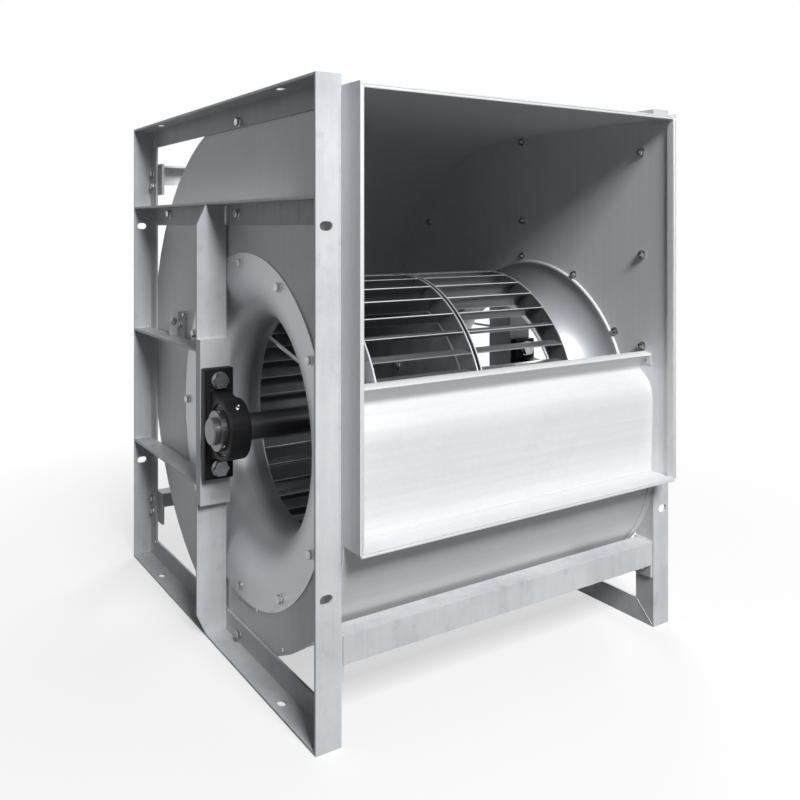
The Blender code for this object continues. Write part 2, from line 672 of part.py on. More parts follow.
def stay_rods():
    """Slanting stays from the hub's necks out to the inner edge of each end ring."""
    for label, side in SIDES:
        for k in range(STAYS):
            turn = math.radians(STAY_PHASE_DEG + 360 * k / STAYS)
            radial = Vector((0, math.cos(turn), math.sin(turn)))
            centre = Vector((0, AXIS_Y, AXIS_HEIGHT))
            ring_corner = Vector((side * (WHEEL_HALF_WIDTH - END_RING_THICKNESS), 0, 0))
            ring_corner += centre + radial * END_RING_INNER_RADIUS
            root = centre + Vector((side * STAY_ROOT_X, 0, 0)) + radial * (HUB_NECK_RADIUS + GAP)
            along = (ring_corner - root).normalized()
            root += along * STAY_RADIUS
            tip = ring_corner - along * GAP
            across = along.cross(Vector((0, -math.sin(turn), math.cos(turn))))
            beside = along.cross(across)
            bm = bmesh.new()
            rings = []
            for at in (root, tip):
                spokes = [2 * math.pi * i / 10 for i in range(10)]
                rings.append([
                    bm.verts.new(at + STAY_RADIUS * (across * math.cos(a) + beside * math.sin(a))) for a in spokes
                ])
            bm.faces.new(rings[0])
            bm.faces.new(rings[1][::-1])
            for i in range(10):
                bm.faces.new((rings[0][i - 1], rings[0][i], rings[1][i], rings[1][i - 1]))
            object_from(f"{label}_stay_rod_{k + 1}", bm, bright_zinc(), 50)


def pillow_block(label, side):
    """Cast housing: foot, web and boss round the bearing insert."""
    base = AXIS_Y + BEARING_HEIGHT
    face = base - FOOT_THICKNESS
    x_low, x_high = sorted((side * (PAD_X - FOOT_WIDTH / 2), side * (PAD_X + FOOT_WIDTH / 2)))
    half = FOOT_LENGTH / 2
    block = box(
        f"{label}_bearing_housing",
        (x_low, face, AXIS_HEIGHT - half),
        (x_high, base, AXIS_HEIGHT + half),
        cast_black(),
    )
    low, high = side * PAD_X - BOSS_WIDTH / 2, side * PAD_X + BOSS_WIDTH / 2
    flank = BOSS_RADIUS - SHEET
    root = FOOT_BOLT_SPACING / 2 - WASHER_RADIUS - GAP
    web = [
        (AXIS_Y, AXIS_HEIGHT - flank),
        (face + FOOT_THICKNESS / 2, AXIS_HEIGHT - root),
        (face + FOOT_THICKNESS / 2, AXIS_HEIGHT + root),
        (AXIS_Y, AXIS_HEIGHT + flank),
    ]
    boolean(block, prism(f"{block.name}_web", web, 0, low + SHEET, high - SHEET, cast_black()), "UNION")
    boss = circle((AXIS_Y, AXIS_HEIGHT), BOSS_RADIUS, COARSE)
    boolean(block, prism(f"{block.name}_boss", boss, 0, low, high, cast_black()), "UNION")
    cut_round(block, (AXIS_Y, AXIS_HEIGHT), INSERT_RADIUS + GAP, 0, low - BOSS_WIDTH, high + BOSS_WIDTH, COARSE)
    for sign in (-1, 1):
        at = (side * PAD_X, AXIS_HEIGHT + sign * FOOT_BOLT_SPACING / 2)
        cut_round(block, at, BOLT_RADIUS + RUNNING_GAP, 1, face - FOOT_THICKNESS, base + FOOT_THICKNESS)


def bearing_insert(label, side):
    """The outer race with its shields, fixed in the housing, and the inner sleeve on the shaft."""
    middle = side * PAD_X
    outer = ring_profile(
        middle - INSERT_WIDTH / 2, middle + INSERT_WIDTH / 2, SLEEVE_RADIUS + RUNNING_GAP, INSERT_RADIUS
    )
    turned(f"{label}_bearing_outer_race", outer, COARSE, bright_zinc())
    inner = SHAFT_RADIUS + GAP
    far, near = SLEEVE_WIDTH / 2, SLEEVE_WIDTH / 2 - COLLAR_WIDTH
    profile = [(-far, inner), (-far, SLEEVE_RADIUS), (near, SLEEVE_RADIUS), (near, COLLAR_RADIUS)]
    profile += [(far, COLLAR_RADIUS), (far, inner)]
    profile = [(middle + side * x, r) for x, r in profile]
    turned(f"{label}_bearing_sleeve", profile, COARSE, bright_zinc())


def bearing_bolts(label, side):
    """Hexagon bolts with washers, through foot, pad and bar to a nut behind the bar."""
    face = AXIS_Y + BEARING_HEIGHT - FOOT_THICKNESS - GAP
    behind = BAR_FACE + BAR_THICKNESS + GAP
    for level, sign in (("lower", -1), ("upper", 1)):
        at = (side * PAD_X, AXIS_HEIGHT + sign * FOOT_BOLT_SPACING / 2)
        name = f"{label}_{level}_bearing_bolt"
        head_end = face - WASHER_THICKNESS - BOLT_HEAD_HEIGHT
        overlap = WASHER_THICKNESS / 2
        bolt = prism(name, circle(at, BOLT_HEAD_RADIUS, 6), 1, head_end, face - overlap, bright_zinc())
        washer = circle(at, WASHER_RADIUS, SMALL)
        shank = circle(at, BOLT_RADIUS, SMALL)
        nut = circle(at, BOLT_HEAD_RADIUS, 6)
        pieces = (
            ("washer", washer, face - WASHER_THICKNESS, face),
            ("shank", shank, face - overlap, behind + BOLT_HEAD_HEIGHT + WASHER_THICKNESS),
            ("nut", nut, behind, behind + BOLT_HEAD_HEIGHT),
        )
        for part, outline, low, high in pieces:
            boolean(bolt, prism(f"{name}_{part}", outline, 1, low, high, bright_zinc()), "UNION")


clear_scene()
for side_label, side_sign in SIDES:
    frame_posts(side_label, side_sign)
    frame_rails(side_label, side_sign)
    cross_rail(side_label, side_sign)
    bearing_bar(side_label, side_sign)
    bearing_pad(side_label, side_sign)
    tie_bars(side_label, side_sign)
    tie_clips(side_label, side_sign)
    pillow_block(side_label, side_sign)
    bearing_insert(side_label, side_sign)
    bearing_bolts(side_label, side_sign)
cross_bars()
side_plates()
scroll_wrap()
outlet_sill()
cutoff_plate()
inlet_cones()
shaft()
hub()
wheel_discs()
blade_rows()
stay_rods()
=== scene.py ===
"""Double-inlet centrifugal fan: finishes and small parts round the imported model."""

import json
import math

import bmesh
import bpy
from mathutils import Matrix, Vector


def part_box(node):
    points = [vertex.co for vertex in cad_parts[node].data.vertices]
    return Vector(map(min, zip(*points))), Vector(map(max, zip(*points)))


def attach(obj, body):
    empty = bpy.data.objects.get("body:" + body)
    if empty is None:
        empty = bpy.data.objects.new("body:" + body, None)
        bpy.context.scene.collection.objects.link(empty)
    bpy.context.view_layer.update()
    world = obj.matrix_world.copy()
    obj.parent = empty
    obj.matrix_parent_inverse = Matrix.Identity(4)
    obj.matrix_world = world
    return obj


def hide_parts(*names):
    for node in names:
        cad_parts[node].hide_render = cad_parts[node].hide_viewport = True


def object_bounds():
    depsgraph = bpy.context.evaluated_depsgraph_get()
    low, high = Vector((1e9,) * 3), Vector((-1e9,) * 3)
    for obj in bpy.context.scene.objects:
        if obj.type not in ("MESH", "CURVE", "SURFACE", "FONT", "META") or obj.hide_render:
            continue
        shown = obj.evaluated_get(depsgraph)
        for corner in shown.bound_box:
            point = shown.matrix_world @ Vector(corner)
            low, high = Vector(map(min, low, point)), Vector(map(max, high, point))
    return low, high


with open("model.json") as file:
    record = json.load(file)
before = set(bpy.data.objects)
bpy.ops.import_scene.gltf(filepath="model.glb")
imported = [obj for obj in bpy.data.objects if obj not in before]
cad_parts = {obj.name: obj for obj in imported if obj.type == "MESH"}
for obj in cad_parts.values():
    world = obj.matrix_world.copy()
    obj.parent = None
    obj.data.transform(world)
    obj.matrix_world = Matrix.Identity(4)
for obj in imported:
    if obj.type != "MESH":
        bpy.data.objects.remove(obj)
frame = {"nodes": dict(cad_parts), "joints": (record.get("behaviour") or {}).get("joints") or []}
cad_low, cad_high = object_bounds()
nodes = frame["nodes"]
bpy.ops.object.select_all(action="DESELECT")

# Camera. A level camera to the left of the outlet, with the picture shifted down so that upright
# edges stay upright.
CAMERA_AT = (-0.8985, -1.4174, 0.7163)
CAMERA_YAW = math.radians(33.454)
CAMERA_PITCH = math.radians(-0.05)
CAMERA_LENS = 38.43
PICTURE_SHIFT = -0.2164
bpy.ops.object.camera_add(location=CAMERA_AT)
camera = bpy.context.object
camera.data.lens = CAMERA_LENS
camera.data.sensor_width = 36.0
camera.data.shift_y = PICTURE_SHIFT
camera.data.clip_end = 100.0
aim = Vector((
    math.sin(CAMERA_YAW) * math.cos(CAMERA_PITCH),
    math.cos(CAMERA_YAW) * math.cos(CAMERA_PITCH),
    math.sin(CAMERA_PITCH),
))
camera.rotation_mode = "QUATERNION"
camera.rotation_quaternion = aim.to_track_quat("-Z", "Y")
bpy.context.scene.camera = camera


class Wire:
    """A node's output. Sums on it add Math nodes, and node() adds any other node beside it."""

    def __init__(self, tree, socket=None):
        self.tree = tree
        self.socket = socket

    def feed(self, target, value):
        if isinstance(value, Wire):
            self.tree.links.new(value.socket, target)
        else:
            target.default_value = value

    def node(self, kind, settings, sockets, output=0):
        made = self.tree.nodes.new(kind)
        for key, value in settings.items():
            if key == "stops":
                self.set_stops(made.color_ramp.elements, value)
            else:
                setattr(made, key, value)
        for key, value in sockets.items():
            self.feed(made.inputs[key], value)
        return Wire(self.tree, made.outputs[output])

    def set_stops(self, elements, stops):
        while len(elements) < len(stops):
            elements.new(1.0)
        for element, (position, shade) in zip(elements, stops):
            element.position = position
            element.color = (shade, shade, shade, 1.0)

    def math(self, operation, first, second):
        return self.node("ShaderNodeMath", {"operation": operation}, {0: first, 1: second})

    def __add__(self, other):
        return self.math("ADD", self, other)

    def __sub__(self, other):
        return self.math("SUBTRACT", self, other)

    def __rsub__(self, other):
        return self.math("SUBTRACT", other, self)

    def __mul__(self, other):
        return self.math("MULTIPLY", self, other)

    def __truediv__(self, other):
        return self.math("DIVIDE", self, other)

    __radd__ = __add__
    __rmul__ = __mul__

    def mapped(self, scale, location=(0.0, 0.0, 0.0)):
        return self.node("ShaderNodeMapping", {}, {"Vector": self, "Location": location, "Scale": scale})

    def noise(self, scale, detail=3.0, roughness=0.55):
        sockets = {"Vector": self, "Scale": scale, "Detail": detail, "Roughness": roughness}
        return self.node("ShaderNodeTexNoise", {}, sockets)

    def ramp(self, *stops):
        return self.node("ShaderNodeValToRGB", {"stops": stops}, {0: self})

    def limited(self):
        return self.node("ShaderNodeClamp", {}, {"Value": self})

    def tinted(self, low, high):
        """A colour between low and high by this value."""
        sockets = {0: self, 6: (*low, 1.0), 7: (*high, 1.0)}
        return self.node("ShaderNodeMix", {"data_type": "RGBA"}, sockets, 2)


def blank_material(name):
    """A material with its Principled shader, and the place on the object as the first wire."""
    made = bpy.data.materials.new(name)
    made.use_nodes = True
    tree = made.node_tree
    shader = tree.nodes["Principled BSDF"]
    place = Wire(tree).node("ShaderNodeTexCoord", {}, {}, "Object")
    return made, shader, place


# Studio floor and light. A pale floor that keeps a soft shadow near the fan and runs out to plain
# white, one large soft lamp in front, above and a little to the left, and a weak one behind.
FLOOR_SIZE = 60.0
PLAIN_FLOOR_FROM = 0.55
PLAIN_FLOOR_FADE = 0.9
PLAIN_SHARE = 0.6
FLOOR_SHADE = 0.9
BOUNCE_SHADE = 0.07
bpy.ops.mesh.primitive_plane_add(size=FLOOR_SIZE)
floor = bpy.context.object
floor.name = "floor"
floor_paint, floor_shader, floor_place = blank_material("pale_floor")
floor_tree = floor_paint.node_tree
floor_shader.inputs["Base Color"].default_value = (FLOOR_SHADE, FLOOR_SHADE, FLOOR_SHADE, 1.0)
floor_shader.inputs["Roughness"].default_value = 0.9
reach = floor_place.node("ShaderNodeVectorMath", {"operation": "LENGTH"}, {0: floor_place}, "Value")
fade = ((reach - PLAIN_FLOOR_FROM) / PLAIN_FLOOR_FADE).limited()
paper = fade.node("ShaderNodeEmission", {}, {"Color": (1.0, 1.0, 1.0, 1.0), "Strength": 1.0})
lit = Wire(floor_tree, floor_shader.outputs[0])
plain = PLAIN_SHARE + (1.0 - PLAIN_SHARE) * fade
pale = fade.node("ShaderNodeMixShader", {}, {0: plain, 1: lit, 2: paper})
bounce = (BOUNCE_SHADE, BOUNCE_SHADE, BOUNCE_SHADE, 1.0)
dull = fade.node("ShaderNodeBsdfDiffuse", {}, {"Color": bounce})
camera_ray = fade.node("ShaderNodeLightPath", {}, {}, "Is Camera Ray")
glossy_ray = fade.node("ShaderNodeLightPath", {}, {}, "Is Glossy Ray")
floor_seen = camera_ray.math("MAXIMUM", camera_ray, glossy_ray)
floor_mix = fade.node("ShaderNodeMixShader", {}, {0: floor_seen, 1: dull, 2: pale})
floor_mix.feed(floor_tree.nodes["Material Output"].inputs["Surface"], floor_mix)
floor.data.materials.append(floor_paint)

ROOM_LIGHT = 0.03
world = bpy.data.worlds.new("white_room")
bpy.context.scene.world = world
world.use_nodes = True
air = Wire(world.node_tree)
ray_kinds = ("Is Camera Ray", "Is Glossy Ray", "Is Transmission Ray")
rays = [air.node("ShaderNodeLightPath", {}, {}, kind) for kind in ray_kinds]
room_seen = air.math("MAXIMUM", air.math("MAXIMUM", rays[0], rays[1]), rays[2])
background = world.node_tree.nodes["Background"]
background.inputs["Color"].default_value = (1.0, 1.0, 1.0, 1.0)
air.feed(background.inputs["Strength"], ROOM_LIGHT + (1.0 - ROOM_LIGHT) * room_seen)

LAMP_AIM = Vector((0.0, 0.0, 0.45))
LAMPS = {
    "soft_lamp": ((-0.65, -4.15, 3.75), 1.7, 335.0),
    "back_lamp": ((3.2, 3.4, 2.2), 2.4, 130.0),
}
for lamp_name, (lamp_at, lamp_size, lamp_power) in LAMPS.items():
    bpy.ops.object.light_add(type="AREA", location=lamp_at)
    lamp = bpy.context.object
    lamp.name = lamp_name
    lamp.data.size = lamp_size
    lamp.data.energy = lamp_power
    lamp.rotation_euler = (LAMP_AIM - Vector(lamp_at)).to_track_quat("-Z", "Y").to_euler()
bpy.context.scene.view_settings.view_transform = "Standard"


# Casing sheets. Hot-dip galvanised steel sheet, cut and folded, and screwed together along the
# edges. The zinc has a faint spangle, rolling streaks and a few smudges from handling.
def metal(name, dark, light, metallic, rough, pattern, relief_depth, shine=0.5):
    """A metal finish. pattern gives tone, dullness and relief from the place on the object."""
    made, shader, place = blank_material(name)
    tone, dullness, relief = pattern(place)
    tone.feed(shader.inputs["Base Color"], tone.tinted(dark, light))
    tone.feed(shader.inputs["Roughness"], rough[0] + (rough[1] - rough[0]) * dullness)
    shader.inputs["Metallic"].default_value = metallic
    shader.inputs["Specular IOR Level"].default_value = shine
    sockets = {"Strength": 0.5, "Distance": relief_depth, "Height": relief}
    bump = relief.node("ShaderNodeBump", {}, sockets)
    bump.feed(shader.inputs["Normal"], bump)
    return made


def rolled_sheet(streaks_along):
    """Rolling streaks along one axis, spangle and smudges."""
    scale = [110.0] * 3
    scale[streaks_along] = 1.6

    def pattern(place):
        cloud = place.noise(2.2, 4.0)
        streaks = place.mapped(scale).noise(1.0, 4.0, 0.6)
        spangle = place.node("ShaderNodeTexVoronoi", {}, {"Vector": place, "Scale": 140.0})
        smudge = place.noise(8.0, 6.0, 0.7).ramp((0.55, 0.0), (0.75, 1.0))
        tone = 0.2 + cloud * 0.4 + streaks * 0.45 + spangle * 0.1 - smudge * 0.2
        dullness = cloud * 0.5 + streaks * 0.3 + smudge * 0.3
        return tone.limited(), dullness.limited(), streaks + 0.3 * spangle
    return pattern


def dress(material, *names):
    """Puts a material on CAD nodes in place of their own."""
    for name in names:
        slots = nodes[name].data.materials
        slots.clear()
        slots.append(material)


sheet_across = metal(
    "zinc_sheet_across", (0.52, 0.54, 0.55), (0.80, 0.81, 0.82), 0.1, (0.30, 0.5),
    rolled_sheet(0), 0.0001, 0.3)
# The side plates' copy of the same zinc is painted lighter than the sheet across. This painted light makes
# up for side faces that the lamp lights less. Its streaks run upright.
sheet_side_lightened = metal(
    "zinc_sheet_side_lightened", (0.60, 0.62, 0.65), (0.84, 0.86, 0.89), 0.1, (0.30, 0.5),
    rolled_sheet(2), 0.0001, 0.3)
dress(sheet_across, "outlet_sill")
dress(sheet_side_lightened, "left_side_plate", "right_side_plate")
SHEET_GAUGE = 0.002
# Points nearer than TOUCHING count as one, and HAIR is the margin for picking an edge or a face.
TOUCHING = 1e-5
HAIR = 0.0001


def only(*pieces):
    """Selects these pieces and no others."""
    bpy.ops.object.select_all(action="DESELECT")
    for piece in pieces:
        piece.select_set(True)
    bpy.context.view_layer.objects.active = pieces[-1]


def pick(piece, kind, test):
    """Opens the piece in edit mode with the vertices, edges or faces selected that pass test."""
    only(piece)
    bpy.ops.object.mode_set(mode="EDIT")
    bpy.ops.mesh.select_mode(type=kind)
    bpy.ops.mesh.select_all(action="DESELECT")
    form = bmesh.from_edit_mesh(piece.data)
    parts = {"VERT": form.verts, "EDGE": form.edges, "FACE": form.faces}[kind]
    for part in parts:
        corners = [part] if kind == "VERT" else list(part.verts)
        if test(sum((corner.co for corner in corners), Vector()) / len(corners)):
            part.select_set(True)
    form.select_flush(True)
    bmesh.update_edit_mesh(piece.data)


def round_edges(piece, offset, segments, test):
    """Bevels the edges that pass test."""
    pick(piece, "EDGE", test)
    bpy.ops.mesh.bevel(offset=offset, segments=segments, affect="EDGES")
    bpy.ops.object.mode_set(mode="OBJECT")


def fit_modifier(piece, kind, **settings):
    """Adds a modifier and applies it."""
    only(piece)
    bpy.ops.object.modifier_add(type=kind)
    modifier = piece.modifiers[-1]
    for key, value in settings.items():
        setattr(modifier, key, value)
    bpy.ops.object.modifier_apply(modifier=modifier.name)


def block(low, high):
    """A block between two corners, to be shaped further."""
    low, high = Vector(low), Vector(high)
    low, high = Vector(map(min, low, high)), Vector(map(max, low, high))
    bpy.ops.object.select_all(action="DESELECT")
    bpy.ops.mesh.primitive_cube_add(size=1.0, location=(low + high) / 2, scale=high - low)
    bpy.ops.object.transform_apply(location=True, rotation=True, scale=True)
    return bpy.context.object


def joined(pieces):
    """These pieces as one object."""
    only(*pieces)
    bpy.ops.object.join()
    return bpy.context.object


def settle(piece, name, paint, body, smooth_deg=35):
    """Applies the piece's place, turns its faces outwards, paints it and lets it ride."""
    only(piece)
    bpy.ops.object.transform_apply(location=True, rotation=True, scale=True)
    bpy.ops.object.mode_set(mode="EDIT")
    bpy.ops.mesh.select_all(action="SELECT")
    bpy.ops.mesh.remove_doubles(threshold=1e-6)
    bpy.ops.mesh.normals_make_consistent(inside=False)
    bpy.ops.object.mode_set(mode="OBJECT")
    bpy.ops.object.shade_smooth_by_angle(angle=math.radians(smooth_deg))
    piece.name = piece.data.name = name
    piece.data.materials.clear()
    piece.data.materials.append(paint)
    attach(piece, body)


def copy_of(pattern):
    """A loose copy of an object, with a mesh of its own."""
    only(pattern)
    bpy.ops.object.duplicate(linked=False)
    made = bpy.context.object
    made.name = "copy"
    return made


def merged_copy(name):
    """A copy of a CAD node, free of it, with its triangles merged so that curves shade smoothly."""
    made = copy_of(nodes[name])
    made.parent = None
    for key in list(made.keys()):
        del made[key]
    bpy.ops.mesh.customdata_custom_splitnormals_clear()
    fit_modifier(made, "WELD", merge_threshold=TOUCHING)
    return made


wrap = merged_copy("scroll_wrap")
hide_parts("scroll_wrap")
settle(wrap, "scroll_sheet", sheet_across, "casing", 25)


# Outlet hems. Each edge of the sheets round the outlet is folded back on itself, flat and 14 mm
# deep, so the mouth has a thick blunt rim with rounded folds.
HEM_DEPTH = 0.014
HEM_THICKNESS = 0.0044
FOLD_RADIUS = 0.0016
HEM_STAND = 0.0002
mouth_y = cad_low[1]
sill_low, sill_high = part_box("outlet_sill")
mouth_x, mouth_bottom, sill_under = sill_high[0], sill_high[2], sill_low[2]
mouth_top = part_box("scroll_wrap")[1][2] - SHEET_GAUGE
hem_back = mouth_y + HEM_DEPTH
hem_x = mouth_x - HEM_THICKNESS
hem_corners = {
    "left_outlet_hem": ((-mouth_x - HEM_STAND, mouth_bottom), (-hem_x, mouth_top)),
    "right_outlet_hem": ((hem_x, mouth_bottom), (mouth_x + HEM_STAND, mouth_top)),
    "top_outlet_hem": ((-hem_x, mouth_top - HEM_THICKNESS), (hem_x, mouth_top)),
    "sill_hem": ((-mouth_x, sill_under - HEM_THICKNESS), (mouth_x, sill_under)),
}
for hem_name, ((x_low, z_low), (x_high, z_high)) in hem_corners.items():
    hem = block((x_low, mouth_y, z_low), (x_high, hem_back, z_high))
    round_edges(hem, FOLD_RADIUS, 3, lambda middle: middle.y < mouth_y + HAIR)
    settle(hem, hem_name, sheet_across, "casing")


# Seams round the scroll. The side plate's edge is rolled over the wrap's and pressed flat, which
# leaves a raised band along each rim of the scroll and over the outlet.
SEAM_WIDTH = 0.010
SEAM_RISE = 0.0015
NOSE_RADIUS = 0.250
NOSE_OVER_FRONT = 0.004
wrap_low, wrap_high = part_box("scroll_wrap")
scroll_radius = (wrap_high[2] - wrap_low[2]) / 2
scroll_y, scroll_z = wrap_high[1] - scroll_radius, wrap_high[2] - scroll_radius
nose_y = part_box("left_front_post")[0][1] - NOSE_OVER_FRONT + NOSE_RADIUS
lean = math.asin((scroll_y - nose_y) / (scroll_radius - NOSE_RADIUS))
nose_z = scroll_z - (scroll_radius - NOSE_RADIUS) * math.cos(lean)
seam_start = math.pi + math.asin((nose_z - sill_under) / NOSE_RADIUS)
seam_meeting = 1.5 * math.pi - lean
for label, side in (("left", -1), ("right", 1)):
    bpy.ops.object.select_all(action="DESELECT")
    bpy.ops.mesh.primitive_plane_add(
        size=1.0,
        location=(side * (mouth_x - SEAM_WIDTH / 2), nose_y + NOSE_RADIUS + SEAM_RISE / 2, nose_z),
    )
    seam = bpy.context.object
    seam.scale = (SEAM_WIDTH, SEAM_RISE, 1.0)
    bpy.ops.object.transform_apply(location=True, rotation=True, scale=True)
    pick(seam, "FACE", lambda middle: True)
    bpy.ops.transform.rotate(value=-seam_start, orient_axis="X", center_override=(0.0, nose_y, nose_z))
    for centre, turn, steps in (
        ((0.0, nose_y, nose_z), seam_start - seam_meeting, 12),
        ((0.0, scroll_y, scroll_z), seam_meeting - 2.5 * math.pi, 56),
    ):
        bpy.ops.mesh.spin(steps=steps, angle=turn, center=centre, axis=(1.0, 0.0, 0.0))
    over_outlet = {"value": (0.0, mouth_y + 0.001 - scroll_y, 0.0)}
    bpy.ops.mesh.extrude_region_move(TRANSFORM_OT_translate=over_outlet)
    bpy.ops.object.mode_set(mode="OBJECT")
    settle(seam, f"{label}_scroll_seam", sheet_across, "casing", 40)


# Outlet top folds. Over the outlet the roof's edge is turned down outside each side plate, as a
# narrow band with a line below it.
FOLD_HEIGHT = 0.0085
FOLD_STAND = 0.0022
FOLD_ROUNDING = 0.0009
for label, side in (("left", -1), ("right", 1)):
    fold = block(
        (side * (mouth_x - 0.001), mouth_y + 0.0005, mouth_top - FOLD_HEIGHT),
        (side * (mouth_x + FOLD_STAND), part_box("left_front_post")[0][1] - 0.002, mouth_top + 0.0012),
    )
    round_edges(fold, FOLD_ROUNDING, 3, lambda middle: abs(middle.x) > mouth_x + FOLD_STAND - HAIR)
    settle(fold, f"{label}_roof_fold", sheet_across, "casing")


# Cut-off sheet. One galvanised sheet that stands on the sill, rolls back under the lip and is folded
# forward again to the lip, whose edge has a short ledge. Its line is (y, z), from the foot upwards.
INNER_X = 0.3167
lip_low, lip_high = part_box("cutoff_plate")
FOOT_FOLD = 0.020
CUTOFF_LINE = (
    (-0.3940, 0.350), (-0.3950, 0.405), (-0.3940, 0.419), (-0.3905, 0.431), (-0.3850, 0.441),
    (-0.3780, 0.4485), (-0.3720, 0.4530), (-0.3680, 0.4570), (-0.3660, 0.4610), (-0.3665, 0.4650),
    (-0.3695, 0.4690), (-0.3750, 0.4730), (-0.3900, 0.4838), (-0.3925, 0.4862), (-0.3905, 0.4880),
    (-0.3750, 0.4905),
)
at_y, at_z = lip_low[1] + SHEET_GAUGE / 2, lip_low[2] + FOOT_FOLD
bpy.ops.object.select_all(action="DESELECT")
bpy.ops.mesh.primitive_plane_add(
    size=1.0, location=(0.0, at_y, at_z - FOOT_FOLD / 2), rotation=(math.pi / 2, 0.0, 0.0))
cutoff = bpy.context.object
cutoff.scale = (2 * INNER_X, FOOT_FOLD, 1.0)
bpy.ops.object.transform_apply(location=True, rotation=True, scale=True)
pick(cutoff, "EDGE", lambda middle: middle.z > at_z - 0.001)
for next_y, next_z in CUTOFF_LINE:
    bpy.ops.mesh.extrude_region_move(
        TRANSFORM_OT_translate={"value": (0.0, next_y - at_y, next_z - at_z)})
    at_y, at_z = next_y, next_z
bpy.ops.mesh.select_all(action="SELECT")
bpy.ops.mesh.normals_make_consistent(inside=False)
bpy.ops.object.mode_set(mode="OBJECT")
fit_modifier(cutoff, "SOLIDIFY", thickness=SHEET_GAUGE, offset=0.0)
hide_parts("cutoff_plate")
settle(cutoff, "cutoff_sheet", sheet_across, "casing", 40)


# Cut-off lip ends. The lip's short ledge is turned down at each end and riveted to the side plate.
TAB_THICKNESS = 0.0012
TAB_HEIGHT = 0.016
TAB_DROP = 0.006
TAB_ROUNDING = 0.005
for label, side in (("left", -1), ("right", 1)):
    tab = block(
        (side * (mouth_x - TAB_THICKNESS), lip_low[1] + 0.001, lip_high[2] - TAB_DROP - TAB_HEIGHT),
        (side * (mouth_x + 0.0003), lip_low[1] + 0.018, lip_high[2] - TAB_DROP),
    )
    round_edges(
        tab, TAB_ROUNDING, 4,
        lambda middle: middle.z < lip_high[2] - 0.02 and middle.y > lip_low[1] + 0.01)
    settle(tab, f"{label}_lip_tab", sheet_across, "casing")


# Inlet cones. The same sheet spun over a former, so it carries fine rings round its axis and a
# bright, slightly wavy shine.
AXIS_Y, AXIS_Z = frame["joints"][0]["pos_m"][1:]


def from_axis(place):
    """The distance from the shaft line."""
    flat = place.mapped((0.0, 1.0, 1.0), (0.0, -AXIS_Y, -AXIS_Z))
    return flat.node("ShaderNodeVectorMath", {"operation": "LENGTH"}, {0: flat}, "Value")


def revolve(outline, steps):
    """Turns an outline once round the shaft line, and leaves the result open in edit mode."""
    pick(outline, "VERT", lambda middle: True)
    bpy.ops.mesh.spin(steps=steps, angle=math.tau, center=(0.0, AXIS_Y, AXIS_Z), axis=(1.0, 0.0, 0.0))
    bpy.ops.mesh.select_all(action="SELECT")
    bpy.ops.mesh.remove_doubles(threshold=TOUCHING)


def spun(place):
    """Fine rings round the shaft line."""
    radius = from_axis(place)
    sockets = {"W": radius * 260.0, "Detail": 3.0}
    rings = radius.node("ShaderNodeTexNoise", {"noise_dimensions": "1D"}, sockets)
    cloud = place.noise(5.0, 4.0)
    tone = 0.2 + 0.4 * rings + 0.4 * cloud
    return tone.limited(), cloud, rings


spun_zinc = metal("spun_zinc", (0.42, 0.44, 0.47), (0.70, 0.72, 0.75), 0.6, (0.36, 0.52), spun, 0.00012)
BELL_DROP = 0.084
BELL_RADIUS = 0.262
FLANGE_RADIUS = 0.294
CONE_TAIL, CONE_FLARE = 0.022, 0.008
CONE_SHEET = 0.002
BELL_ROUNDING = 0.005
post_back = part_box("left_front_post")[1][1] + 0.0003
for label, side in (("left", -1), ("right", 1)):
    flange_x = max(abs(corner[0]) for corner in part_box(f"{label}_inlet_cone"))
    throat_x = flange_x - CONE_SHEET / 2 - BELL_DROP
    centre = Vector((side * throat_x, AXIS_Y, AXIS_Z + BELL_RADIUS))
    bpy.ops.object.select_all(action="DESELECT")
    bpy.ops.mesh.primitive_circle_add(
        vertices=96, radius=BELL_DROP, location=centre, rotation=(math.pi / 2, 0.0, 0.0))
    cone = bpy.context.object
    bpy.ops.object.transform_apply(location=True, rotation=True, scale=True)
    pick(
        cone, "VERT",
        lambda middle: side * (middle.x - centre.x) < -TOUCHING or middle.z > centre.z + TOUCHING)
    bpy.ops.mesh.delete(type="VERT")
    bpy.ops.object.mode_set(mode="OBJECT")
    for low_end, move in (
        (False, (0.0, 0.0, FLANGE_RADIUS - BELL_RADIUS)),
        (True, (-side * CONE_TAIL, 0.0, CONE_FLARE)),
    ):
        end_z = centre.z - (BELL_DROP if low_end else 0.0)
        pick(cone, "VERT", lambda middle: abs(middle.z - end_z) < TOUCHING)
        bpy.ops.mesh.extrude_vertices_move(TRANSFORM_OT_translate={"value": move})
        bpy.ops.object.mode_set(mode="OBJECT")
    revolve(cone, 128)
    bpy.ops.mesh.bisect(plane_co=(0.0, post_back, 0.0), plane_no=(0.0, -1.0, 0.0), clear_outer=True)
    bpy.ops.mesh.select_all(action="SELECT")
    bpy.ops.mesh.normals_make_consistent(inside=False)
    bpy.ops.object.mode_set(mode="OBJECT")
    fit_modifier(
        cone, "BEVEL", width=BELL_ROUNDING, segments=3, limit_method="ANGLE", angle_limit=math.radians(60))
    fit_modifier(cone, "SOLIDIFY", thickness=CONE_SHEET, offset=0.0)
    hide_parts(f"{label}_inlet_cone")
    settle(cone, f"{label}_spun_cone", spun_zinc, "casing", 30)


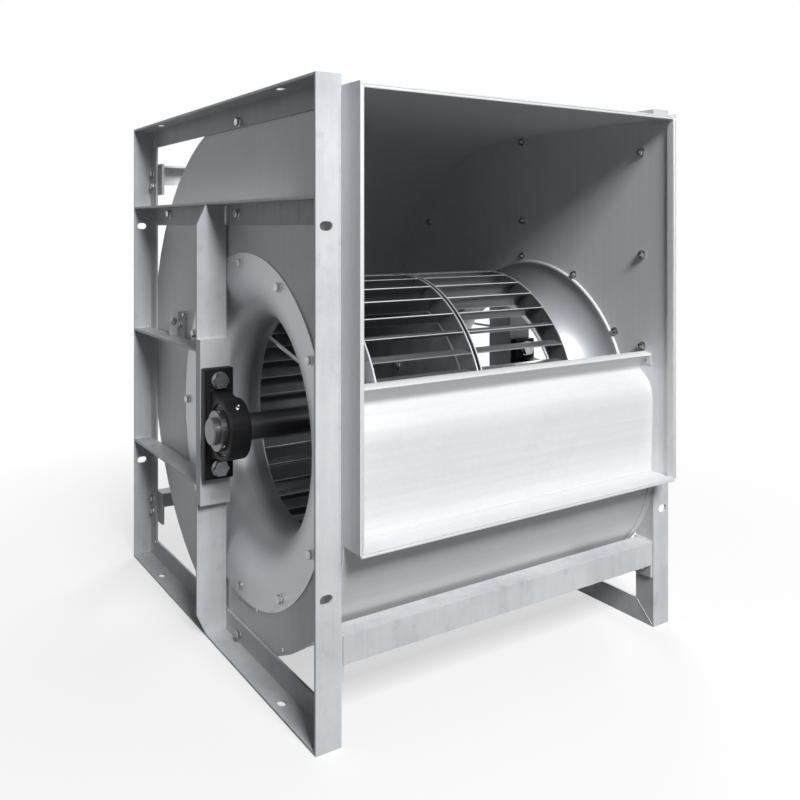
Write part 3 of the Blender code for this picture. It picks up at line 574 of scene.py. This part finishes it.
# Inlet rims. Inside the casing the side plate's round hole is turned over the cone in a rolled rim.
RIM_RADIUS = 0.2655
RIM_ROUND = 0.0032
rim_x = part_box("right_side_plate")[0][0] - 0.0012
for label, side in (("left", -1), ("right", 1)):
    bpy.ops.object.select_all(action="DESELECT")
    bpy.ops.mesh.primitive_circle_add(
        vertices=14, radius=RIM_ROUND, location=(side * rim_x, AXIS_Y, AXIS_Z + RIM_RADIUS),
        rotation=(math.pi / 2, 0.0, 0.0))
    rim = bpy.context.object
    bpy.ops.object.transform_apply(location=True, rotation=True, scale=True)
    revolve(rim, 96)
    bpy.ops.object.mode_set(mode="OBJECT")
    settle(rim, f"{label}_inlet_rim", sheet_across, "casing", 60)


# Side frames. Hot-rolled steel angle, mitred and welded, then coated with a satin aluminium-zinc
# paint that leaves a fine sparkle.
def sprayed(place):
    """Fine flake, soft drifts of spray, upright runs and dull scuffs."""
    drift = place.noise(7.0, 5.0, 0.6).ramp((0.34, 0.0), (0.66, 1.0))
    runs = place.mapped((60.0, 60.0, 5.0)).noise(1.0, 4.0, 0.6).ramp((0.35, 0.0), (0.65, 1.0))
    flake = place.node("ShaderNodeTexVoronoi", {}, {"Vector": place, "Scale": 900.0})
    scuff = place.noise(30.0, 6.0, 0.75).ramp((0.56, 0.0), (0.72, 1.0))
    tone = 0.15 + 0.4 * drift + 0.2 * runs + 0.35 * flake - 0.35 * scuff
    return tone.limited(), (drift * 0.6 + scuff * 0.4).limited(), flake + 0.5 * runs


frame_coat = metal(
    "sprayed_frame_coat", (0.42, 0.44, 0.47), (0.70, 0.72, 0.74), 0.05, (0.34, 0.52), sprayed, 0.00006, 0.2)
frame_words = ("post", "rail", "bearing_bar", "tie_bar", "tie_clip", "cross_bar", "bearing_pad")
dress(frame_coat, *[name for name in nodes if any(word in name for word in frame_words)])


# Weld beads. Hand-laid fillets with overlapping scallops, under the same coat. One 40 mm bead is
# modelled from flattened drops run together, and copies are stretched along each joint.
bead_coat = metal(
    "coated_bead", (0.46, 0.48, 0.50), (0.80, 0.81, 0.82), 0.2, (0.26, 0.44), sprayed, 0.0001)
BEAD_LENGTH = 0.040
BEAD_RADIUS = 0.0029
DROP_PITCH = 0.0032
bpy.ops.object.select_all(action="DESELECT")
drops = []
for k in range(int(BEAD_LENGTH / DROP_PITCH) + 1):
    wander = math.sin(k * 2.3)
    bpy.ops.mesh.primitive_uv_sphere_add(
        segments=12, ring_count=8, radius=BEAD_RADIUS + 0.0003 * wander,
        location=(k * DROP_PITCH, 0.0004 * wander, 0.0), scale=(1.0, 1.0, 0.62),
    )
    drops.append(bpy.context.object)
weld_pattern = joined(drops)
bpy.ops.object.transform_apply(location=True, rotation=True, scale=True)
fit_modifier(weld_pattern, "REMESH", mode="VOXEL", voxel_size=0.0007)
fit_modifier(weld_pattern, "SMOOTH", factor=0.5, iterations=3)
fit_modifier(weld_pattern, "DECIMATE", ratio=0.5)


def weld(start, end, facing, width=1.0):
    """A copy of the bead laid from start to end, its crown towards facing."""
    start, end = Vector(start), Vector(end)
    along = (end - start).normalized()
    crown = Vector(facing).normalized()
    bead = copy_of(weld_pattern)
    bead.location = start
    bead.rotation_mode = "QUATERNION"
    bead.rotation_quaternion = Matrix((along, crown.cross(along), crown)).transposed().to_quaternion()
    bead.scale = ((end - start).length / BEAD_LENGTH, width, width)
    return bead


LEG_GAUGE = 0.004
LEG_TOE = 0.038
OUTER_MITRE = (0.006, 0.037)
INNER_MITRE = (0.005, 0.038)
INNER_BEAD_WIDTH = 0.3
for label, side in (("left", -1), ("right", 1)):
    post_low, post_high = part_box(f"{label}_front_post")
    pad_low, pad_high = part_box(f"{label}_bearing_pad")
    rail_low, rail_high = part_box(f"{label}_upper_cross_rail")
    heel = min(abs(post_low[0]), abs(post_high[0]))
    flat_x, toe_x = side * (heel + LEG_GAUGE), side * (heel + LEG_TOE)
    near_y, far_y = post_low[1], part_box(f"{label}_rear_post")[1][1]
    bar_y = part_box(f"{label}_bearing_bar")[0][1]
    beads = []
    for corner_y, into_y in ((near_y, 1), (far_y, -1)):
        for corner_z, into_z in ((0.0, 1), (post_high[2], -1)):
            outer = [(flat_x, corner_y + into_y * inset, corner_z + into_z * inset) for inset in OUTER_MITRE]
            beads.append(weld(*outer, (side, 0.0, 0.0)))
            front_top = (into_y, into_z) == (1, -1)
            if not front_top:
                inner = [
                    (side * heel, corner_y + into_y * inset, corner_z + into_z * inset)
                    for inset in INNER_MITRE
                ]
                beads.append(weld(*inner, (-side, 0.0, 0.0), INNER_BEAD_WIDTH))
        post_face = corner_y + into_y * LEG_GAUGE
        beads.append(weld(
            (side * (heel + 0.006), post_face, rail_high[2]),
            (toe_x, post_face, rail_high[2]),
            (0.0, into_y, 1.0),
        ))
    for z_from, z_to in ((0.008, 0.036), (rail_low[2] + 0.003, rail_high[2] - 0.006)):
        beads.append(weld((flat_x, bar_y, z_from), (flat_x, bar_y, z_to), (side, -1.0, 0.0)))
    for end_z, up in ((pad_high[2], 1.0), (pad_low[2], -1.0)):
        pad_x = sorted((abs(pad_low[0]), abs(pad_high[0])))
        beads.append(weld(
            (side * (pad_x[0] + 0.002), bar_y, end_z), (side * (pad_x[1] - 0.002), bar_y, end_z),
            (0.0, -1.0, up),
        ))
    for level in ("upper", "lower"):
        tie_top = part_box(f"{label}_{level}_tie_bar")[1][2]
        for joint_y, into_y in ((bar_y + 0.005, 1.0), (far_y - 0.004, -1.0)):
            beads.append(weld(
                (side * (heel + 0.009), joint_y, tie_top), (toe_x, joint_y, tie_top),
                (0.0, into_y, 1.0),
            ))
    settle(joined(beads), f"{label}_frame_welds", bead_coat, "casing", 60)

PLATE_GAUGE = 0.005
BAR_BEAD = 0.027
beads = []
for name in ("front_lower_cross_bar", "rear_lower_cross_bar", "rear_upper_cross_bar"):
    low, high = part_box(name)
    top = high[2] - 0.003
    plate_x = high[0] - PLATE_GAUGE
    for side in (-1, 1):
        from_y = low[1] + 0.006 if name.startswith("front") else high[1] - 0.05
        to_y = from_y + BAR_BEAD
        beads.append(weld((side * plate_x, from_y, top), (side * plate_x, to_y, top), (-side, 0.0, 1.0)))
settle(joined(beads), "cross_bar_welds", bead_coat, "casing", 60)
bpy.data.objects.remove(weld_pattern, do_unlink=True)


# Wheel. Galvanised blades pressed to a curve, between middle discs and end rings. The blades, discs and
# blade tabs are painted dark for the shade inside the wheel, with painted highlights along the
# blades' tip and root edges. Stay rods are bright drawn steel. The shaft and hub are dark machined
# steel with an oil film.
ROOT_RADIUS, TIP_RADIUS = 0.206, 0.249
# Width and sharpness of the painted highlight bands at the blades' tip and root edges.
EDGE_HIGHLIGHT_BAND = 0.0012
EDGE_HIGHLIGHT_STEEPNESS = 1500.0


def pressed(place):
    """Zinc with fine lines along the blades and grey handling marks, painted dark for the shade inside the
    wheel, with painted highlights in narrow bands at the tip and root edges.
    """
    lines = place.mapped((6.0, 220.0, 220.0)).noise(1.0, 3.0)
    cloud = place.noise(14.0, 5.0)
    radius = from_axis(place)
    # Painted highlights: bright bands at the blades' tip and root edges.
    outer = ((radius - (TIP_RADIUS - EDGE_HIGHLIGHT_BAND)) * EDGE_HIGHLIGHT_STEEPNESS).limited()
    inner = (((ROOT_RADIUS + EDGE_HIGHLIGHT_BAND) - radius) * EDGE_HIGHLIGHT_STEEPNESS).limited()
    inner = inner * (radius * 900.0 - 182.0).limited()
    tone = 0.02 + 0.28 * cloud + 0.2 * lines + 0.7 * (outer + inner)
    return tone.limited(), cloud, lines


def drawn(place):
    """Fine lines along a drawn rod."""
    lines = place.mapped((4.0, 300.0, 300.0)).noise(1.0, 3.0)
    return (0.2 + 0.7 * lines).limited(), lines, lines


# Blade zinc painted dark for the shade inside the wheel, also used on the discs and tabs.
shaded_blade_zinc = metal(
    "blade_zinc_painted_shade", (0.06, 0.065, 0.07), (0.76, 0.78, 0.80), 0.6, (0.30, 0.48), pressed, 0.00008)
bright_steel = metal(
    "bright_drawn_steel", (0.70, 0.71, 0.73), (0.90, 0.91, 0.92), 0.6, (0.16, 0.3), drawn, 0.00005)
oiled_steel = metal(
    "oiled_shaft_steel", (0.07, 0.07, 0.075), (0.20, 0.20, 0.21), 0.9, (0.22, 0.42), spun, 0.0001)
dress(shaded_blade_zinc, "left_wheel_disc", "right_wheel_disc")
for label in ("left", "right"):
    blades = merged_copy(f"{label}_blade_row")
    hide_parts(f"{label}_blade_row")
    settle(blades, f"{label}_blades", shaded_blade_zinc, "rotor", 30)
dress(bright_steel, *[name for name in nodes if "stay_rod" in name])
dress(oiled_steel, "shaft", "hub")


# Blade tabs. Each blade is held in its end ring by two tabs that come through slots and are
# folded down flat on the ring's outer face.
BLADES = 38
FIRST_BLADE = math.radians(7.6)
BLADE_LEAD = math.radians(6.0)
TAB_SIZE = (0.0012, 0.011, 0.0042)
TABS_ALONG_BLADE = (0.25, 0.72)
ring_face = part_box("right_blade_row")[1][0]
bpy.ops.object.select_all(action="DESELECT")
bpy.ops.mesh.primitive_cube_add(size=1.0, scale=TAB_SIZE)
tab_pattern = bpy.context.object
bpy.ops.object.transform_apply(location=True, rotation=True, scale=True)
fit_modifier(tab_pattern, "BEVEL", width=0.0004, segments=1)
for label, side in (("left", -1), ("right", 1)):
    tabs = []
    for k in range(BLADES):
        for part in TABS_ALONG_BLADE:
            radius = ROOT_RADIUS + (TIP_RADIUS - ROOT_RADIUS) * part
            angle = FIRST_BLADE + math.tau * k / BLADES - BLADE_LEAD * (1 - part * part)
            slope = math.atan2(radius * 2 * part * BLADE_LEAD, TIP_RADIUS - ROOT_RADIUS)
            tab = copy_of(tab_pattern)
            tab.rotation_euler = (angle + slope, 0.0, 0.0)
            tab.location = (
                side * (ring_face + 0.0005),
                AXIS_Y + radius * math.cos(angle),
                AXIS_Z + radius * math.sin(angle),
            )
            tabs.append(tab)
    settle(joined(tabs), f"{label}_blade_tabs", shaded_blade_zinc, "rotor")
bpy.data.objects.remove(tab_pattern, do_unlink=True)


# Pillow blocks. Sand-cast iron under black paint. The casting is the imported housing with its
# corners rounded and its inner corners filled, as a mould leaves them.
def cast(place):
    """The grain of sand-cast iron under paint."""
    grain = place.noise(260.0, 4.0, 0.6)
    lumps = place.noise(40.0, 3.0)
    return (0.5 * grain + 0.4 * lumps).limited(), grain, 0.6 * grain + lumps


def plated(place):
    """Zinc plating, faintly blotched."""
    blotch = place.noise(120.0, 4.0)
    return blotch, blotch, place.noise(500.0, 2.0)


black_iron = metal(
    "black_cast_iron", (0.003, 0.003, 0.0035), (0.02, 0.02, 0.022), 0.0, (0.42, 0.62), cast, 0.0006, 0.15)
plated_steel = metal(
    "plated_steel", (0.24, 0.25, 0.26), (0.60, 0.60, 0.59), 1.0, (0.12, 0.28), plated, 0.00005)
dress(plated_steel, *[name for name in nodes if "bearing_bolt" in name])
dress(oiled_steel, *[name for name in nodes if "race" in name or "sleeve" in name])
for label, side in (("left", -1), ("right", 1)):
    name = f"{label}_bearing_housing"
    casting = merged_copy(name)
    fit_modifier(casting, "REMESH", mode="VOXEL", voxel_size=0.0012)
    fit_modifier(casting, "SMOOTH", factor=0.5, iterations=6)
    fit_modifier(casting, "DECIMATE", ratio=0.4)
    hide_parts(name)
    settle(casting, f"{label}_cast_housing", black_iron, "casing", 50)


# Bearing seals and fittings. A black rubber seal lies in each face of the insert, two hexagon
# socket screws lock the collar to the shaft, and a grease nipple stands on the boss.
SEAL_OUTER, SEAL_INNER = 0.0405, 0.0320
SEAL_RISE = 0.0006
SEAL_SHOULDER = 0.98
SOCKET_RADIUS = 0.0032
COLLAR_RADIUS = 0.0332
COLLAR_SCREW_INSET = 0.0055
NIPPLE_TILT = math.radians(50)
seal_rubber = metal(
    "seal_rubber", (0.010, 0.010, 0.011), (0.030, 0.030, 0.032), 0.0, (0.5, 0.7), cast, 0.0002)


def grow(*stages):
    """Extrudes the selected face upwards in stages of (rise, width factor)."""
    for rise, factor in stages:
        bpy.ops.mesh.extrude_region_move(TRANSFORM_OT_translate={"value": (0.0, 0.0, rise)})
        form = bmesh.from_edit_mesh(bpy.context.object.data)
        chosen = [vert.co for vert in form.verts if vert.select]
        middle = sum(chosen, Vector()) / len(chosen)
        bpy.ops.transform.resize(value=(factor, factor, 1.0), center_override=middle)


def turned_peg(corners, radius, *stages):
    """A peg along +Z from a round or hexagon foot, grown in stages."""
    bpy.ops.object.select_all(action="DESELECT")
    bpy.ops.mesh.primitive_circle_add(vertices=corners, radius=radius, fill_type="NGON")
    peg = bpy.context.object
    pick(peg, "FACE", lambda middle: True)
    grow(*stages)
    bpy.ops.object.mode_set(mode="OBJECT")
    return peg


def face_towards(piece, direction, place, turn=0.0):
    """Turns a piece modelled along +Z towards direction, and puts its foot at place."""
    spin = Matrix.Rotation(turn, 3, "Z").to_quaternion()
    piece.rotation_mode = "QUATERNION"
    piece.rotation_quaternion = Vector(direction).to_track_quat("Z", "Y") @ spin
    piece.location = place


for label, side in (("left", -1), ("right", 1)):
    race_low, race_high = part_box(f"{label}_bearing_outer_race")
    sleeve_low, sleeve_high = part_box(f"{label}_bearing_sleeve")
    middle_x = (race_low[0] + race_high[0]) / 2
    seals = []
    for face_x, out in ((race_low[0], -1), (race_high[0], 1)):
        hole = SEAL_INNER / SEAL_OUTER / SEAL_SHOULDER
        seal = turned_peg(48, SEAL_OUTER, (SEAL_RISE, 1.0), (0.0003, SEAL_SHOULDER), (0.0, hole))
        pick(seal, "FACE", lambda middle: middle.to_2d().length < 0.001)
        bpy.ops.mesh.delete(type="FACE")
        bpy.ops.object.mode_set(mode="OBJECT")
        pick(seal, "EDGE", lambda middle: abs(middle.to_2d().length - SEAL_INNER) < 0.0004)
        bpy.ops.mesh.extrude_region_move(TRANSFORM_OT_translate={"value": (0.0, 0.0, -SEAL_RISE)})
        bpy.ops.object.mode_set(mode="OBJECT")
        face_towards(seal, (out, 0.0, 0.0), (face_x - out * HAIR, AXIS_Y, AXIS_Z))
        seals.append(seal)
    settle(joined(seals), f"{label}_bearing_seals", seal_rubber, "casing")

    collar_x = (sleeve_high[0] if side > 0 else sleeve_low[0]) - side * COLLAR_SCREW_INSET
    sockets = []
    for turn in (math.radians(100.0), math.radians(220.0)):
        radial = Vector((0.0, math.cos(turn), math.sin(turn)))
        socket = turned_peg(
            16, SOCKET_RADIUS, (0.0012, 1.0), (0.0004, 0.85), (0.0, 0.62), (-0.0012, 0.95), (0.0, 0.05))
        face_towards(socket, radial, Vector((collar_x, AXIS_Y, AXIS_Z)) + radial * COLLAR_RADIUS)
        sockets.append(socket)
    settle(joined(sockets), f"{label}_collar_screws", plated_steel, "rotor")

    nipple = turned_peg(
        6, 0.0042, (0.0035, 1.0), (0.0006, 0.8), (0.0008, 0.62), (0.003, 1.0), (0.0006, 1.35),
        (0.0014, 1.0), (0.0010, 0.6), (0.0003, 0.3))
    tilt = Vector((0.0, -math.cos(NIPPLE_TILT), math.sin(NIPPLE_TILT)))
    boss_radius = AXIS_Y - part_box(f"{label}_bearing_housing")[0][1]
    face_towards(nipple, tilt, Vector((middle_x, AXIS_Y, AXIS_Z)) + tilt * (boss_radius - 0.0008))
    settle(nipple, f"{label}_grease_nipple", plated_steel, "casing")


# Screws and nuts. Zinc-plated hexagon screws with flat washers hold the cones on the side plates
# and the sheets on the frames, with nuts and screw ends inside the casing. A few rivets hold the
# tie clips, the side plates' lower edge and the lip's ends.
WASHER = (24, 0.0082, (0.0012, 1.0), (0.0003, 0.95))
HEX_HEAD = (6, 0.0073, (0.0047, 1.0), (0.0008, 0.86))
SCREW_END = (14, 0.0038, (0.0086, 1.0), (0.0007, 0.72))


def stack(*pegs):
    """Pegs of (corners, radius, stages) on one another, joined."""
    parts = []
    for height, peg in pegs:
        part = turned_peg(*peg)
        part.location.z = height
        parts.append(part)
    made = joined(parts)
    bpy.ops.object.transform_apply(location=True, rotation=True, scale=True)
    return made


screw_pattern = stack((0.0, WASHER), (0.0013, HEX_HEAD))
nut_pattern = stack((0.0, WASHER), (0.0013, HEX_HEAD), (0.0013, SCREW_END))
rivet_pattern = stack((0.0, (20, 0.0042, (0.0004, 1.0), (0.0006, 0.92), (0.0005, 0.75), (0.0002, 0.4))))


def round_axis(radius, turns):
    """Places (y, z) on a circle round the shaft line, one for each turn in radians."""
    return [(AXIS_Y + radius * math.cos(turn), AXIS_Z + radius * math.sin(turn)) for turn in turns]


def on_face(x, spots):
    """Places (y, z) put on the face at x."""
    return [(x, y, z) for y, z in spots]


def fasten(name, body, *rows):
    """Copies of patterns, each row a pattern, a size factor, a direction and its places."""
    made = []
    for pattern, factor, direction, places in rows:
        for k, place in enumerate(places):
            fastener = copy_of(pattern)
            face_towards(fastener, direction, place, turn=0.7 * k + place[2] * 9.0)
            fastener.scale = (factor, factor, factor)
            made.append(fastener)
    settle(joined(made), name, plated_steel, body)


FLANGE_BOLT_RADIUS = 0.277
FLANGE_BOLTS = (85.7, 118.2, 148.8, 179.3, 209.9, 240.5, 274.7, 303.2, 328.0, 0.2, 28.7, 57.2)
POST_BOLTS = ((-0.372, 0.6645), (-0.372, 0.4996), (-0.370, 0.850))
RAIL_BOLTS = {"left": ((-0.043, 0.738), (0.315, 0.742)), "right": ((-0.051, 0.728), (0.289, 0.728))}
TOP_BOLT = (-0.0476, 0.8944)
FLOOR_BOLT = (-0.050, 0.020)
BAR_BOLTS = ((0.425, 0.830), (0.425, 0.803), (0.425, 0.125), (0.425, 0.099), (-0.372, 0.106))
PLATE_RIVETS = ((-0.1136, 0.0834), (-0.2107, 0.0577))
CLIP_FRONT_SCREW = (0.332, 0.526)
CLIP_SIDE_SCREW, CLIP_SIDE_RIVET = (0.246, 0.520), (0.2385, 0.539)
CLIP_GAUGE = 0.003
CLIP_FOOT = 0.0033
flange_face = abs(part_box("right_inlet_cone")[1][0])
plate_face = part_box("right_side_plate")[1][0]
angle_face = min(abs(corner[0]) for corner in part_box("right_front_post")) + LEG_GAUGE
lip_rivet = (lip_low[1] + 0.010, lip_high[2] - 0.014)
ring = round_axis(FLANGE_BOLT_RADIUS, [math.radians(turn) for turn in FLANGE_BOLTS])
for label, side in (("left", -1), ("right", 1)):
    outwards, inwards = (side, 0.0, 0.0), (-side, 0.0, 0.0)
    sheet_bolts = POST_BOLTS + RAIL_BOLTS[label] + (TOP_BOLT,)
    fasten(
        f"{label}_screws", "casing",
        (screw_pattern, 1.0, outwards, on_face(side * flange_face, ring)),
        (screw_pattern, 1.0, outwards, on_face(side * angle_face, sheet_bolts + (FLOOR_BOLT,) + BAR_BOLTS)),
        (nut_pattern, 0.9, inwards, on_face(side * (plate_face - SHEET_GAUGE), ring)),
        (nut_pattern, 1.0, inwards, on_face(side * (plate_face - SHEET_GAUGE), sheet_bolts)),
        (nut_pattern, 1.0, inwards, on_face(side * (plate_face - PLATE_GAUGE), BAR_BOLTS)),
    )
    clip_x, clip_z = CLIP_FRONT_SCREW
    clip_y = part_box(f"{label}_tie_clip")[1][1] - CLIP_GAUGE
    clip_face = side * (plate_face + CLIP_FOOT)
    fasten(
        f"{label}_clip_screws", "casing",
        (screw_pattern, 0.8, (0.0, -1.0, 0.0), [(side * clip_x, clip_y, clip_z)]),
        (screw_pattern, 0.8, outwards, on_face(clip_face, [CLIP_SIDE_SCREW])),
        (rivet_pattern, 1.0, outwards, on_face(clip_face, [CLIP_SIDE_RIVET])),
        (rivet_pattern, 1.0, outwards, on_face(side * plate_face, PLATE_RIVETS)),
        (rivet_pattern, 0.8, inwards, on_face(side * (mouth_x - TAB_THICKNESS), [lip_rivet])),
    )

# Hub screws. Six hexagon screws on each side clamp the middle discs to the hub's flange.
HUB_BOLTS = 6
HUB_BOLT_RADIUS = 0.075
FIRST_HUB_BOLT = 0.35
disc_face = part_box("right_wheel_disc")[1][0]
hub_turns = [math.tau * k / HUB_BOLTS + FIRST_HUB_BOLT for k in range(HUB_BOLTS)]
rows = []
for side in (-1, 1):
    spots = on_face(side * disc_face, round_axis(HUB_BOLT_RADIUS, hub_turns))
    rows.append((screw_pattern, 1.15, (side, 0.0, 0.0), spots))
fasten("hub_screws", "rotor", *rows)
for pattern in (screw_pattern, nut_pattern, rivet_pattern):
    bpy.data.objects.remove(pattern, do_unlink=True)
